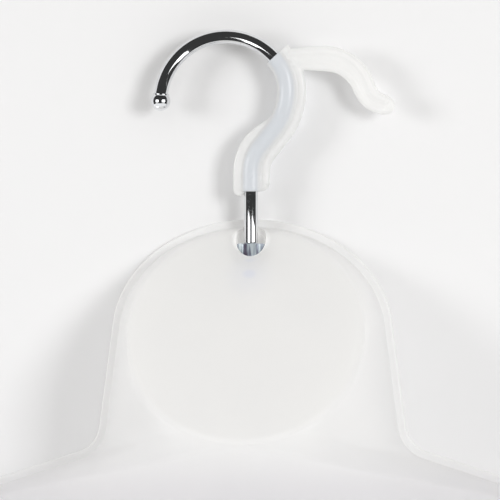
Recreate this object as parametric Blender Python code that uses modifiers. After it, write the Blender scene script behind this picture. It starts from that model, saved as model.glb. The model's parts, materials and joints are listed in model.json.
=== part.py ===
"""Hanging torso form: a hollow-back shell that hangs from a swivelling ball-end hook.

Metres, +Z up, -Y to the front. The origin is the point inside the top of the hook
that rests on a garment rail. The hook lies in the XZ plane, and its stem, which is
the swivel axis, is the vertical line x = STEM_X, y = 0.
"""
from math import asin, atan2, cos, pi, radians, sin, tan

import bmesh
import bpy
from mathutils import Matrix

GAP = 0.0003                    # left between pieces that touch

# Hook wire
WIRE_R = 0.00275                # 5.5 mm wire, the blank of a rolled M6 thread
HOOK_R = 0.0259                 # centreline radius of the hook's bend
HOOK_START = radians(176)       # angle on the bend where the wire ends in the ball
HOOK_END = radians(40)          # angle on the bend where it tightens
HOOK_STEPS = 20
TIGHT_R = 0.019                 # tighter bend from there to the vertical
BACK_R = 0.0245                 # bend back towards the stem
LEAN = radians(39)              # how far the wire leans between its two bends
FOOT_R = 0.0166                 # bend from the lean into the stem
STEM_X = 0.0099                 # swivel axis
BALL_R = 0.0039
BALL_SOCKET = 0.0014            # how far the wire end stops above the ball's centre

# Neck cap and the stack of fasteners on the stem, all in Z
ARCH_TOP = -0.0727              # top of the neck's arch
NUT_TOP = -0.0790
NUT_H = 0.0050
NUT_FLATS = 0.0098
POCKET_R = 0.0060               # round seat that the top nut turns in
BORE_R = 0.0032
BOSS_R = 0.0085
BOSS_BOTTOM = -0.0896
WASHER_R = 0.0060
WASHER_H = 0.0010
LOCK_NUT_H = 0.0034
COLLAR_H = 0.0014               # nylon collar of the lock nut
COLLAR_R = 0.0038
STEM_END = -0.0985

# Shell
WALL = 0.0020
RIM_Y = 0.0100                  # back plane that the rim lies in
FLANGE = 0.0032                 # rim flange, out from the wall
CAP_SLOPE = radians(49)         # cap, down from the horizontal
RIDGE = 0.00415                 # level stretch between rim and cap
CAP_HALF_W = 0.0468
CAP_HALF_H = 0.04195
ARCH_HALF_W = 0.0525
ARCH_HALF_H = 0.0425
NECK_DRAFT = radians(7.5)
COLUMNS = 9                     # faces from the rim to the middle of the front

# Silhouette of the right half, as a path that starts at the arch's top:
# (length or radius, turn in degrees, steps, where its inner ends reach on the centre line)
# The turn is to the right (clockwise from the front), and 0 is a straight line.
# The last value runs from 0 to 1 down the cap's edge, and from 1 to 2 down the front.
BODY_PATH = [
    (0.0417, 0, 4, 0.72),       # side of the neck
    (0.0150, -64.3, 5, 0.84),   # turn into the shoulder
    (0.0620, 0, 5, 1.00),       # shoulder, inner stretch
    (0.0508, 0, 4, 1.04),       # shoulder, outer stretch
    (0.0360, 78.8, 6, 1.16),    # shoulder cap
    (0.0400, 0, 2, 1.25),       # below the arm
    (0.2000, 15, 3, 1.36),
    (0.0600, 0, 2, 1.48),
    (0.1700, -38, 5, 1.71),     # waist
    (0.0350, 0, 2, 1.78),
    (0.2600, 18, 4, 1.95),      # hip
    (0.0300, 0, 1, 1.98),
    (0.0280, 88, 4, 2.00),      # hem corner
]
HEM_STEPS = 5
ARCH_STEPS = 11
ARCH_REACH = 0.53               # share of the cap's edge that the arch reaches
FRONT_TOP = ARCH_TOP - 2 * CAP_HALF_H
FRONT_BOTTOM = -0.6250
# Depth of the front at the centre line, from the top of the chest to the hem
CHEST_DEPTHS = [0.0771, 0.0860, 0.0925, 0.0935, 0.0860, 0.0780, 0.0800, 0.0880, 0.0885, 0.0850]

# Sleeve with the counter-hook
SLEEVE_R = 0.0040               # tube around the wire
PLATE_T = 0.0024                # flat flanges beside it
SLEEVE_START = radians(43)      # angle on the hook's bend where the sleeve begins
SLEEVE_END = -0.0585            # lower end, in Z
SLEEVE_INNER = 0.0039           # reach of the flange inside the hook
SLEEVE_OUTER = 0.0071
SLEEVE_LOWER = 0.0070
BRANCH_ROOT_W = 0.0035          # half widths of the counter-hook
BRANCH_HALF_W = 0.0047
BRANCH_TIP_W = 0.0036
BRANCH_RIB_R = 0.0021
BRANCH_START = (0.0245, -0.0060)
BRANCH_SWELL = 0.25             # share of the way where it is widest
BRANCH_PATH = [
    (0.0143, 0, 4),
    (0.0165, 68, 9),
    (0.0230, -12, 2),
    (0.0075, -36, 4),
    (0.0033, 0, 1),
]


def clear_scene():
    for obj in list(bpy.data.objects):
        bpy.data.objects.remove(obj, do_unlink=True)


def new_collection(name):
    collection = bpy.data.collections.new(name)
    bpy.context.scene.collection.children.link(collection)
    return collection


def new_material(name, color, metallic, roughness):
    material = bpy.data.materials.new(name)
    material.use_nodes = True
    shader = material.node_tree.nodes["Principled BSDF"]
    shader.inputs["Base Color"].default_value = (*color, 1.0)
    shader.inputs["Metallic"].default_value = metallic
    shader.inputs["Roughness"].default_value = roughness
    return material


def add_object(name, bm, collection, material=None, location=(0, 0, 0)):
    mesh = bpy.data.meshes.new(name)
    bm.to_mesh(mesh)
    bm.free()
    obj = bpy.data.objects.new(name, mesh)
    obj.location = location
    collection.objects.link(obj)
    if material:
        mesh.materials.append(material)
        mesh.shade_smooth()
        mesh.set_sharp_from_angle(angle=radians(35))
    return obj


def add_cutter(name, bm, location=(0, 0, 0)):
    cutter = add_object(name, bm, cutters, location=location)
    cutter.hide_render = True
    cutter.display_type = "WIRE"
    return cutter


def combine(obj, other, operation):
    modifier = obj.modifiers.new(other.name, "BOOLEAN")
    modifier.operation = operation
    modifier.solver = "EXACT"
    modifier.object = other


def turned(radius, bottom, top, segments=24, turn=0.0):
    """A solid cylinder, or a prism, between two heights."""
    bm = bmesh.new()
    place = Matrix.Translation((0, 0, (bottom + top) / 2)) @ Matrix.Rotation(turn, 4, "Z")
    bmesh.ops.create_cone(bm, cap_ends=True, segments=segments, radius1=radius, radius2=radius,
                          depth=top - bottom, matrix=place)
    return bm


# Paths in the XZ plane. A heading is 0 to the right, and grows clockwise.

def walk(start, heading, legs):
    """Follow lines and arcs, and give each point with its heading."""
    x, z = start
    points = [(x, z, heading)]
    for size, turn, steps in legs:
        for _ in range(steps):
            if turn:
                bend = radians(turn) / steps
                chord = 2 * size * sin(abs(bend) / 2)
            else:
                bend = 0.0
                chord = size / steps
            x += chord * cos(heading + bend / 2)
            z -= chord * sin(heading + bend / 2)
            heading += bend
            points.append((x, z, heading))
    return points


def beside(point, distance):
    """The point at a distance to the left of the path."""
    x, z, heading = point
    return x + distance * sin(heading), z + distance * cos(heading)


def lean_length():
    """Straight stretch between the two bends, which brings the stem to STEM_X."""
    reach = HOOK_R * cos(HOOK_END) + TIGHT_R * (1 - cos(HOOK_END))
    reach -= (BACK_R + FOOT_R) * (1 - cos(LEAN))
    return (reach - STEM_X) / sin(LEAN)


def bend_point(angle):
    """A point on the hook's bend, with the heading there."""
    return HOOK_R * cos(angle), HOOK_R * sin(angle) - HOOK_R + WIRE_R, pi / 2 - angle


def wire_points(start_angle, bottom, arc_steps):
    """The wire's centreline, from an angle on the bend down to a height on the stem."""
    x, z, heading = bend_point(start_angle)
    lean = LEAN * 180 / pi
    arc = (start_angle - HOOK_END) * 180 / pi
    legs = [
        (HOOK_R, arc, arc_steps),
        (TIGHT_R, HOOK_END * 180 / pi, 4),
        (BACK_R, lean, 5),
        (lean_length(), 0, 1),
        (FOOT_R, -lean, 5),
    ]
    points = walk((x, z), heading, legs)
    points.append((STEM_X, bottom, pi / 2))
    return points


def tube(name, points, radius, collection, material=None, sides=4):
    """A capped round tube along points, as a closed mesh."""
    curve = bpy.data.curves.new(name, "CURVE")
    curve.dimensions = "3D"
    curve.bevel_depth = radius
    curve.bevel_resolution = sides
    curve.use_fill_caps = True
    spline = curve.splines.new("POLY")
    spline.points.add(len(points) - 1)
    for target, point in zip(spline.points, points):
        target.co = (point[0], 0, point[1], 1)
    guide = bpy.data.objects.new(name + "_guide", curve)
    collection.objects.link(guide)
    bpy.context.view_layer.update()
    evaluated = guide.evaluated_get(bpy.context.evaluated_depsgraph_get())
    mesh = bpy.data.meshes.new_from_object(evaluated)
    bm = bmesh.new()
    bm.from_mesh(mesh)
    bmesh.ops.remove_doubles(bm, verts=bm.verts, dist=0.00001)
    bmesh.ops.recalc_face_normals(bm, faces=bm.faces)
    bpy.data.objects.remove(guide, do_unlink=True)
    bpy.data.meshes.remove(mesh)
    return add_object(name, bm, collection, material)


def plate(name, outline, thickness, collection):
    """A flat outline in the XZ plane, as a closed plate centred on it."""
    bm = bmesh.new()
    bottom = [bm.verts.new((x, -thickness / 2, z)) for x, z in outline]
    face = bm.faces.new(bottom)
    extruded = bmesh.ops.extrude_face_region(bm, geom=[face], use_keep_orig=True)
    moved = [item for item in extruded["geom"] if isinstance(item, bmesh.types.BMVert)]
    bmesh.ops.translate(bm, verts=moved, vec=(0, thickness, 0))
    bmesh.ops.recalc_face_normals(bm, faces=bm.faces)
    return add_object(name, bm, collection)


# Shell

def cap_depth(z, inset):
    """Depth of the cap in front of the skin's rim at a height."""
    return RIDGE + (ARCH_TOP - z) / tan(CAP_SLOPE) - inset * (1 / sin(CAP_SLOPE) - 1)


def cap_height(y):
    """Height of the roof over the boss: the level ridge and the sloping cap."""
    slope_start = RIM_Y - WALL - RIDGE
    return ARCH_TOP - max(0.0, slope_start - y) * tan(CAP_SLOPE)


def chest_depth(share):
    """Depth of the front at the centre line, smooth through CHEST_DEPTHS."""
    last = len(CHEST_DEPTHS) - 1
    place = min(max(share, 0.0), 1.0) * last
    index = min(int(place), last - 1)
    t = place - index
    before, start, end, after = (CHEST_DEPTHS[min(max(index + k, 0), last)] for k in (-1, 0, 1, 2))
    bend = 2 * before - 5 * start + 4 * end - after
    twist = -before + 3 * start - 3 * end + after
    return start + 0.5 * t * (end - before + t * (bend + t * twist))


def section_end(share, inset):
    """Where a section ends: on the cap's edge up to 1, then down the centre line."""
    top = ARCH_TOP - inset
    bottom = FRONT_TOP - inset * (1 / sin(CAP_SLOPE) - 1) * tan(CAP_SLOPE)
    if share <= 1.0:
        angle = pi * share
        x = (CAP_HALF_W - 0.8 * inset) * sin(angle) if share < 1.0 else 0.0
        z = (top + bottom) / 2 + (top - bottom) / 2 * cos(angle)
        return x, z, cap_depth(z, inset), CHEST_DEPTHS[0]
    down = share - 1.0
    depth = chest_depth(down)
    return 0.0, bottom + (FRONT_BOTTOM - bottom) * down, depth, depth


def silhouette():
    """Stations down the right half's rim: point with heading, and inner end."""
    stations = []
    end_angle = atan2(ARCH_HALF_W * cos(NECK_DRAFT), ARCH_HALF_H * sin(NECK_DRAFT))
    for step in range(ARCH_STEPS + 1):
        angle = end_angle * step / ARCH_STEPS
        x = ARCH_HALF_W * sin(angle)
        z = ARCH_TOP - ARCH_HALF_H * (1 - cos(angle))
        heading = atan2(ARCH_HALF_H * sin(angle), ARCH_HALF_W * cos(angle))
        stations.append(((x, z, heading), ARCH_REACH * step / ARCH_STEPS))
    reach = ARCH_REACH
    for size, turn, steps, end_reach in BODY_PATH:
        last = stations[-1][0]
        leg = walk(last[:2], last[2], [(size, turn, steps)])[1:]
        for step, point in enumerate(leg, start=1):
            stations.append((point, reach + (end_reach - reach) * step / steps))
        reach = end_reach
    corner_x, hem_z, _ = stations[-1][0]
    for step in range(1, HEM_STEPS + 1):
        x = corner_x * (1 - step / HEM_STEPS)
        stations.append(((x, hem_z, pi), reach))
    return stations


def section(point, share, inset):
    """One section of a skin, from the flange's edge to the inner end."""
    rim = RIM_Y - WALL + inset
    end_x, end_z, end_depth, full_depth = section_end(share, inset)
    sweep = asin(min(1.0, end_depth / full_depth))
    x, z = beside(point, -inset)
    outer_x, outer_z = beside(point, FLANGE)
    if point[0] == 0.0:
        x = 0.0
        outer_x = 0.0
    row = [(outer_x, rim, outer_z), (x, rim, z)]
    for column in range(1, COLUMNS + 1):
        angle = sweep * column / COLUMNS
        inward = (1 - cos(angle)) / (1 - cos(sweep))
        y = rim - full_depth * sin(angle)
        row.append((x + (end_x - x) * inward, y, z + (end_z - z) * inward))
    return row


def add_skin(bm, stations, inset):
    """One skin of the right half, with its flat cap, open at rim and mirror plane."""
    grid = [[bm.verts.new(co) for co in section(*station, inset)] for station in stations]
    for upper, lower in zip(grid, grid[1:]):
        for column in range(len(upper) - 1):
            bm.faces.new((upper[column], upper[column + 1], lower[column + 1], lower[column]))
    edge = [row[-1] for row, station in zip(grid, stations) if station[1] <= 1.0]
    bm.faces.new(edge[::-1])
    return [row[0] for row in grid]


def shell_half():
    """The right half: front skin, back skin and the flange's edge between them."""
    bm = bmesh.new()
    stations = silhouette()
    front = add_skin(bm, stations, 0.0)
    back = add_skin(bm, stations, WALL)
    for index in range(len(front) - 1):
        bm.faces.new((front[index], front[index + 1], back[index + 1], back[index]))
    bmesh.ops.remove_doubles(bm, verts=bm.verts, dist=0.00001)
    bmesh.ops.recalc_face_normals(bm, faces=bm.faces)
    return bm


def boss_mesh():
    """Boss under the cap, with its top carried up into the cap's wall."""
    bm = turned(BOSS_R, BOSS_BOTTOM, ARCH_TOP)
    middle = (BOSS_BOTTOM + ARCH_TOP) / 2
    for vert in bm.verts:
        if vert.co.z > middle:
            vert.co.z = cap_height(vert.co.y) - WALL * 0.6
    bmesh.ops.triangulate(bm, faces=bm.faces)
    return bm


def build_shell():
    obj = add_object("body_shell", shell_half(), parts, frosted, (STEM_X, 0, 0))
    mirror = obj.modifiers.new("mirror", "MIRROR")
    mirror.merge_threshold = 0.00005
    place = (STEM_X, 0, 0)
    combine(obj, add_cutter("boss", boss_mesh(), place), "UNION")
    pocket = turned(POCKET_R, NUT_TOP - NUT_H - GAP, ARCH_TOP + 0.01, 28)
    combine(obj, add_cutter("nut_pocket", pocket, place), "DIFFERENCE")
    bore = turned(BORE_R, BOSS_BOTTOM - 0.01, NUT_TOP, 24)
    combine(obj, add_cutter("stem_bore", bore, place), "DIFFERENCE")


# Hook

def build_wire():
    tube("hook_wire", wire_points(HOOK_START, STEM_END, HOOK_STEPS), WIRE_R, parts, chrome)


def build_ball():
    """The ball, with a socket in line with the wire's first stretch."""
    x, z, heading = bend_point(HOOK_START)
    heading += (HOOK_START - HOOK_END) / HOOK_STEPS / 2
    x -= BALL_SOCKET * cos(heading)
    z += BALL_SOCKET * sin(heading)
    bm = bmesh.new()
    bmesh.ops.create_uvsphere(bm, u_segments=20, v_segments=12, radius=BALL_R)
    ball = add_object("hook_ball_tip", bm, parts, chrome, (x, 0, z))
    socket = turned(WIRE_R + GAP, BALL_SOCKET - GAP, BALL_R + 0.002, 20)
    socket.transform(Matrix.Rotation(pi / 2 + heading, 4, "Y"))
    combine(ball, add_cutter("ball_socket", socket, (x, 0, z)), "DIFFERENCE")


def sleeve_outline():
    """Outline of the flanges beside the wire, narrow inside the hook."""
    points = wire_points(SLEEVE_START, SLEEVE_END, 1)
    count = len(points)
    left = []
    right = []
    for index, point in enumerate(points):
        widen = min(max((index - 4) / 4, 0.0), 1.0)
        inner = SLEEVE_INNER + (SLEEVE_LOWER - SLEEVE_INNER) * widen
        outer = SLEEVE_OUTER if index else SLEEVE_OUTER - 0.0010
        left.append(beside(point, outer))
        right.append(beside(point, -inner))
    left[count - 1] = (left[count - 1][0], left[count - 1][1] + 0.0008)
    right[count - 1] = (right[count - 1][0], right[count - 1][1] - 0.0016)
    return left + right[::-1]


def branch_points():
    return walk(BRANCH_START, 0.0, BRANCH_PATH)


def branch_half(share):
    """Half width of the counter-hook at a share of its points."""
    if share < BRANCH_SWELL:
        rise = sin(pi / 2 * share / BRANCH_SWELL)
        return BRANCH_ROOT_W + (BRANCH_HALF_W - BRANCH_ROOT_W) * rise
    fall = (share - BRANCH_SWELL) / (1 - BRANCH_SWELL)
    return BRANCH_HALF_W + (BRANCH_TIP_W - BRANCH_HALF_W) * fall


def branch_outline():
    """Outline of the counter-hook, which narrows to a round tip."""
    points = branch_points()
    last = len(points) - 1
    left = []
    right = []
    for index, point in enumerate(points):
        half = branch_half(index / last)
        left.append(beside(point, half))
        right.append(beside(point, -half))
    x, z, heading = points[-1]
    tip = []
    for step in range(1, 6):
        angle = pi * step / 6
        ahead = BRANCH_TIP_W * sin(angle)
        across = BRANCH_TIP_W * cos(angle)
        tip.append((
            x + ahead * cos(heading) + across * sin(heading),
            z - ahead * sin(heading) + across * cos(heading),
        ))
    return left + tip + right[::-1]


def build_sleeve():
    path = wire_points(SLEEVE_START, SLEEVE_END, 1)
    sleeve = tube("hook_sleeve", path, SLEEVE_R, parts, frosted_clear)
    flanges = plate("sleeve_flanges", sleeve_outline(), PLATE_T, cutters)
    branch = plate("counter_hook", branch_outline(), PLATE_T * 1.02, cutters)
    rib = tube("counter_hook_rib", branch_points()[1:], BRANCH_RIB_R, cutters, sides=2)
    for piece in (flanges, branch, rib):
        piece.hide_render = True
        piece.display_type = "WIRE"
        combine(sleeve, piece, "UNION")
    start = SLEEVE_START + radians(8)
    bore = tube("sleeve_bore", wire_points(start, SLEEVE_END - 0.004, 2), WIRE_R + GAP, cutters)
    bore.hide_render = True
    bore.display_type = "WIRE"
    combine(sleeve, bore, "DIFFERENCE")


# Fasteners on the stem

def drilled(name, bm, radius, material):
    obj = add_object(name, bm, parts, material, (STEM_X, 0, 0))
    heights = [vert.co.z for vert in obj.data.vertices]
    cutter = turned(radius, min(heights) - 0.001, max(heights) + 0.001)
    combine(obj, add_cutter(name + "_hole", cutter, (STEM_X, 0, 0)), "DIFFERENCE")
    return obj


def hexagon(bottom, top):
    """A hexagonal prism with a flat towards the front."""
    return turned(NUT_FLATS / 2 / cos(pi / 6), bottom, top, 6, radians(30))


def build_fasteners():
    hole = WIRE_R + GAP
    drilled("top_nut", hexagon(NUT_TOP - NUT_H, NUT_TOP), hole, zinc)
    washer_top = BOSS_BOTTOM - GAP
    washer_bottom = washer_top - WASHER_H
    drilled("thrust_washer", turned(WASHER_R, washer_bottom, washer_top), hole, zinc)
    nut_top = washer_bottom - GAP
    nut_bottom = nut_top - LOCK_NUT_H
    drilled("lock_nut", hexagon(nut_bottom, nut_top), hole, zinc)
    collar_top = nut_bottom - GAP
    collar = turned(COLLAR_R, collar_top - COLLAR_H, collar_top)
    drilled("lock_nut_collar", collar, hole, nylon)


clear_scene()
parts = new_collection("hanging_torso_form")
cutters = new_collection("cutters")
frosted = new_material("frosted_shell", (0.88, 0.88, 0.87), 0.0, 0.45)
frosted_clear = new_material("frosted_sleeve", (0.86, 0.87, 0.86), 0.0, 0.35)
chrome = new_material("chrome", (0.82, 0.83, 0.85), 1.0, 0.06)
zinc = new_material("zinc_plate", (0.70, 0.76, 0.82), 1.0, 0.25)
nylon = new_material("nylon", (0.90, 0.87, 0.76), 0.0, 0.5)
build_shell()
build_wire()
build_ball()
build_sleeve()
build_fasteners()
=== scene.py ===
"""Looks of the hanging torso form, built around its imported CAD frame.

Metres, +Z up, -Y to the front. The origin is the rail's seat inside the hook's bend.
Each piece is rebuilt finely on the same driving dimensions as its CAD node, and
replaces it: the frosted shell, the chrome wire and its ball, the moulded sleeve with
its counter-hook, and the nuts and washer on the threaded stem.
"""
import json
from math import asin, atan2, cos, degrees, pi, radians, sin, sqrt, tan

import bmesh
import bpy
from mathutils import Matrix, Vector
from mathutils.kdtree import KDTree


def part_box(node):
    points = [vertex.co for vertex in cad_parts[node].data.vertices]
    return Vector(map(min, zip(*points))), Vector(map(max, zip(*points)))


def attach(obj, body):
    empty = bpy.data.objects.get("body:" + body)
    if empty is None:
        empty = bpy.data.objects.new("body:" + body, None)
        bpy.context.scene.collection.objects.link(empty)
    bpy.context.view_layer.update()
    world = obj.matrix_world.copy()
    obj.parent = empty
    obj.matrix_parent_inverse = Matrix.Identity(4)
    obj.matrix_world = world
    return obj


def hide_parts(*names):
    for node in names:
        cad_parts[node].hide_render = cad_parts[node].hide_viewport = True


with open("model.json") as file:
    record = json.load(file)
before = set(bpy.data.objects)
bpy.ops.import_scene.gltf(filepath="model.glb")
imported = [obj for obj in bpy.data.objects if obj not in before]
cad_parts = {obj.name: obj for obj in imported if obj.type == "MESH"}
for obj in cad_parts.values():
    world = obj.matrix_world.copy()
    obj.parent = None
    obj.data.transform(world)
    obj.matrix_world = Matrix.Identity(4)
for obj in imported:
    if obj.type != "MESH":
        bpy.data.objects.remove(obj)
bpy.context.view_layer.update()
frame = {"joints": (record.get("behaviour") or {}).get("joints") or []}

# Driving dimensions of the CAD model, with what the frame tells
swivel = next(joint for joint in frame["joints"] if joint["name"] == "hook_swivel")
STEM_X = swivel["pos_m"][0]
RIM_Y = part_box("body_shell")[1][1]

# Hook wire and ball
WIRE_R = 0.00275
WIRE_DENSITY = 4  # of the points along the wire, as a multiple
WIRE_SIDES = 56
ARC_STEP = 4  # degrees in a step of the hook's bend, at density 1
WIRE_STEPS = (10, 2, 8)  # steps of a bend, the lean and the stem, at density 1
WIRE_END = 0.93  # share of the radius left at the end in the ball
HOOK_R = 0.0259  # centreline radius of the hook's bend
HOOK_START = radians(176)  # angle on the bend where the wire ends in the ball
HOOK_END = radians(40)  # angle on the bend where it tightens
TIGHT_R = 0.019
BACK_R = 0.0245
LEAN = radians(39)
FOOT_R = 0.0166
BALL_R = 0.0039
BALL_SOCKET = 0.0014  # how far the wire end stops above the ball's centre
BALL_STEPS = 40
COLLAR_R = 0.0032  # short collar above the ball
# The collar's outline: (radius, height over the ball's cut)
COLLAR_PROFILE = [
    (COLLAR_R + 0.0001, 0.0002),
    (COLLAR_R + 0.0001, 0.0006),
    (COLLAR_R - 0.0002, 0.0008),
    (WIRE_R - 0.0002, 0.00085),
    (0.0, 0.00085),
]

# Thread and fasteners
THREAD_ABOVE = 0.0006  # thread in sight above the top nut
THREAD_PITCH = 0.0010
THREAD_DEPTH = 0.00032
THREAD_STEPS = 10  # rings of points in each turn
THREAD_FLAT = 0.15  # how much the crest and the root are flattened
THREAD_LEAD = 0.84  # share of the radius that the end's chamfer leads to
NUT_FLATS = 0.0098
NUT_SIDES = 6
NUT_CHAMFER = 0.97  # chamfer's circle as a share of the flats
NUT_BEVEL = 0.00012
NUT_RIM = 0.0001  # turned body past the nut's corners
NUT_BORE_GAP = 0.00003
SINK = 0.0004  # countersink of the nuts
WASHER = (0.0060, WIRE_R + 0.0001, 0.00025)  # (outer radius, inner radius, rounding)
NYLON = (0.0038, WIRE_R - 0.0001, 0.0004)
RING_STEPS = 5
ROUND_SIDES = 72
BORE_SIDES = 48
PAST = 0.001  # how far a cutter reaches past what it cuts

# Shell
ARCH_TOP = -0.0727
POCKET_R = 0.0060
BORE_R = 0.0032
BOSS_R = 0.0085
BOSS_BOTTOM = -0.0896
BOSS_COVER = 0.6  # share of the wall between the boss and the outside
SEAT_GAP = 0.0003  # under the top nut
SEAT_OPEN = -0.06  # height over the roof to which its seat is cut
BORE_OPEN = -0.1  # height under the boss from which the bore is cut
WALL = 0.0020
FLANGE = 0.0032
CAP_SLOPE = radians(49)
RIDGE = 0.00415
CAP_HALF_W = 0.0468
CAP_HALF_H = 0.04195
ARCH_HALF_W = 0.0525
ARCH_HALF_H = 0.0425
NECK_DRAFT = radians(7.5)
FRONT_TOP = ARCH_TOP - 2 * CAP_HALF_H
FRONT_BOTTOM = -0.6250
CHEST_DEPTHS = [0.0771, 0.0860, 0.0925, 0.0935, 0.0860, 0.0780, 0.0800, 0.0880, 0.0885, 0.0850]

# Silhouette of the right half: (length or radius, turn in degrees, steps, inner reach)
BODY_PATH = [
    (0.0417, 0, 10, 0.72),  # side of the neck
    (0.0150, -64.3, 12, 0.84),  # turn into the shoulder
    (0.0620, 0, 14, 1.00),  # shoulder
    (0.0040, 0, 4, 1.007),
    (0.0468, 0, 8, 1.04),
    (0.0360, 78.8, 14, 1.16),  # shoulder cap
    (0.0400, 0, 4, 1.25),  # below the arm
    (0.2000, 15, 6, 1.36),
    (0.0600, 0, 4, 1.48),
    (0.1700, -38, 10, 1.71),  # waist
    (0.0350, 0, 4, 1.78),
    (0.2600, 18, 8, 1.95),  # hip
    (0.0300, 0, 3, 1.98),
    (0.0280, 88, 10, 2.00),  # hem corner
]
HEM_STEPS = 12
ARCH_STEPS = 40
ARCH_REACH = 0.53  # share of the cap's edge that the arch reaches
COLUMNS = 30  # faces from the rim to the end of a section
EDGE_COLUMNS = 6  # of those, in the stretch beside the cap's edge
CAP_FILLET = 0.0034  # tangent length of the rounding at the cap's edge
RIM_FILLET = 0.0009  # where the wall turns into the flange
EDGE_LIMIT = 0.6  # largest shares of a section that those two take
RIM_LIMIT = 0.3
TIP_R = 0.0007  # rounding of the flange's outer corners
ROUND_STEPS = 4  # faces in each rounding of the rim
CAP_RINGS = (0.85, 0.6, 0.3)  # rings on the flat cap, as shares of its size
CENTRED = 0.000001  # nearer than this to the middle plane counts as on it
MERGED = 0.000005  # points nearer than this become one
MIRROR_MERGED = 0.00002

# Sleeve with the counter-hook
SLEEVE_R = 0.0040  # tube around the wire
SLEEVE_SIDES = 32
PLATE_T = 0.0026  # flanges beside it, which are thinner at their edges
PLATE_LAYERS = ((0.0, 0.8), (0.0006, 1.0))  # (trimmed by, share of PLATE_T)
BRANCH_LAYERS = ((0.0, 0.7), (0.0007, 1.0))
SLEEVE_START = radians(43)
SLEEVE_END = -0.0585
SLEEVE_INNER = 0.0039
SLEEVE_OUTER = 0.0071
SLEEVE_LOWER = 0.0070
SLEEVE_NARROW = 0.0010  # how much narrower the outer flange starts
WIDEN_TOP = -0.0290  # the inner flange widens below this height
WIDEN_DROP = 0.0120
LOBE_R = 0.0026  # rounding of the flanges' lower corners
LOBE_STEPS = 6
RIGHT_LOBE = 0.0002  # their lowest points, from the sleeve's end
LEFT_LOBE = -0.0019
LOBE_MOUTH = 0.0022  # half width of the step between them
MOUTH_RISE = (0.0002, 0.0012)  # how far the step's ends lie over the right and left lobe
BRANCH_ROOT_W = 0.0035
BRANCH_HALF_W = 0.0047
BRANCH_TIP_W = 0.0036
BRANCH_START = (0.0245, -0.0060)
BRANCH_SWELL = 0.25
BRANCH_PATH = [
    (0.0143, 0, 12),
    (0.0165, 68, 27),
    (0.0230, -12, 6),
    (0.0075, -36, 12),
    (0.0033, 0, 3),
]
TIP_STEPS = 12
BEAD_SIDES = 16
OUTER_BEAD = (0.0013, 0.0017)  # beads on the edges: (in from the edge, radius)
UPPER_BEAD = (0.0017, 0.0021)
LOWER_BEAD = (0.0014, 0.0018)
VOXEL = 0.00032
SMOOTH_FACTOR = 0.6
SMOOTH_ROUNDS = 5
SLEEVE_SHARP = 75
SLEEVE_BORE_R = WIRE_R + 0.0002
SLEEVE_BORE_START = SLEEVE_START + radians(8)
SLEEVE_BORE_END = SLEEVE_END - 0.004

# Painted shade on the plastic: tones that stand in for the shade of what lies behind it
WIRE_SHADE_TONE = (0.88, 0.915, 0.965)
WIRE_EDGE = (0.0020, 0.0036)  # distances from the wire's axis where its tone fades
CAP_MIDDLE = (STEM_X, 0.0, ARCH_TOP - CAP_HALF_H)
CAP_SIZE = (CAP_HALF_W, 5.0, CAP_HALF_H)
# On the shell: (middle, half sizes, shares of them where it starts and ends fading), tone
SHELL_PAINTED_SHADES = [
    # painted shade of what lies behind the cap: the fasteners together, the lock nut with its
    # washer, and the stem
    (((STEM_X, 0.0, -0.0920), (0.0125, 0.1, 0.0110), 0.1, 1.0), (0.97, 0.975, 1.0)),
    (((STEM_X, 0.0, -0.0910), (0.0038, 0.1, 0.0024), 0.3, 1.0), (0.92, 0.94, 1.0)),
    (((STEM_X, 0.0, -0.0855), (0.0030, 0.1, 0.0014), 0.2, 1.0), (0.94, 0.955, 1.0)),
    # painted shade on the front below the cap, over the deep hollow behind it
    (((STEM_X, -0.06, -1.155), (1.0, 0.8, 1.0), 0.975, 1.0), (0.872, 0.863, 0.885)),
    # painted shade on the cap: a little darker and warmer
    ((CAP_MIDDLE, CAP_SIZE, 0.96, 1.01), (0.992, 0.990, 0.982)),
]

# Painted glow: light that the shell emits at the nut's seat and along the cap's lower edge,
# standing in for light that it carries there
SEAT_MIDDLE = (STEM_X, 0.0, -0.0775)
SEAT_SIZE = (POCKET_R, POCKET_R, 0.0065)
SEAT_GLOW = 0.29
EDGE_MIDDLE = (STEM_X, 0.0, -0.165)
EDGE_SIZE = (0.050, 5.0, 0.055)
EDGE_GLOW = 0.045
PAINTED_GLOW_TINT = (1.0, 0.99, 0.98, 1.0)

# Stage and camera
WALL_GAP = 0.0006  # backdrop behind the rim
BACKDROP_TOP = 2.4
STAGE_HALF_W = 3
FLOOR_Z = -0.7600
FLOOR_FRONT = 1.55
CAMERA_AZIMUTH = radians(3.6)
CAMERA_DISTANCE = 4.0
VIEW_CENTRE = (0.0095, 0.0, -0.0816)
VIEW_WIDTH = 0.1975

# Lights. Angles are in degrees: azimuth from the front to the right, and elevation.
# Softboxes on the plastic: name, azimuth, elevation, distance, width, height, power
SOFTBOXES = [
    ("left_softbox", -56, 9, 1.3, 0.38, 0.42, 4.9),
    ("right_softbox", 37, 8, 1.5, 0.42, 0.50, 8.8),
    ("back_softbox", 160, 30, 1.8, 1.4, 1.4, 2.8),
]
# Cards that the stem mirrors: name, azimuths, heights of the card tops
STEM_CARDS = [
    ("left_card", (-12, -48), (-0.0690, -0.0660)),
    ("right_card", (18, 66), (-0.0675, -0.0715)),
]
STEM_CARD_COUNT = 4  # in each of the two rows
STEM_CARD_BOTTOM = -0.086
STEM_CARD_DISTANCE = 0.20
STEM_CARD_LEVEL = 0.09
STEM_CARD_BEAM = 34
# Strips that the hook's bend mirrors: name, both ends as (azimuth, elevation), width
STRIPS = [
    ("right_strip", (14, -13), (49, -43), 11),
    ("left_strip", (-8, -9), (-25, -38), 8),
]
STRIP_DISTANCE = 1.0
STRIP_LEVEL = 2.5
BEND_MIDDLE = (0.0, 0.0, -0.012)
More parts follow.
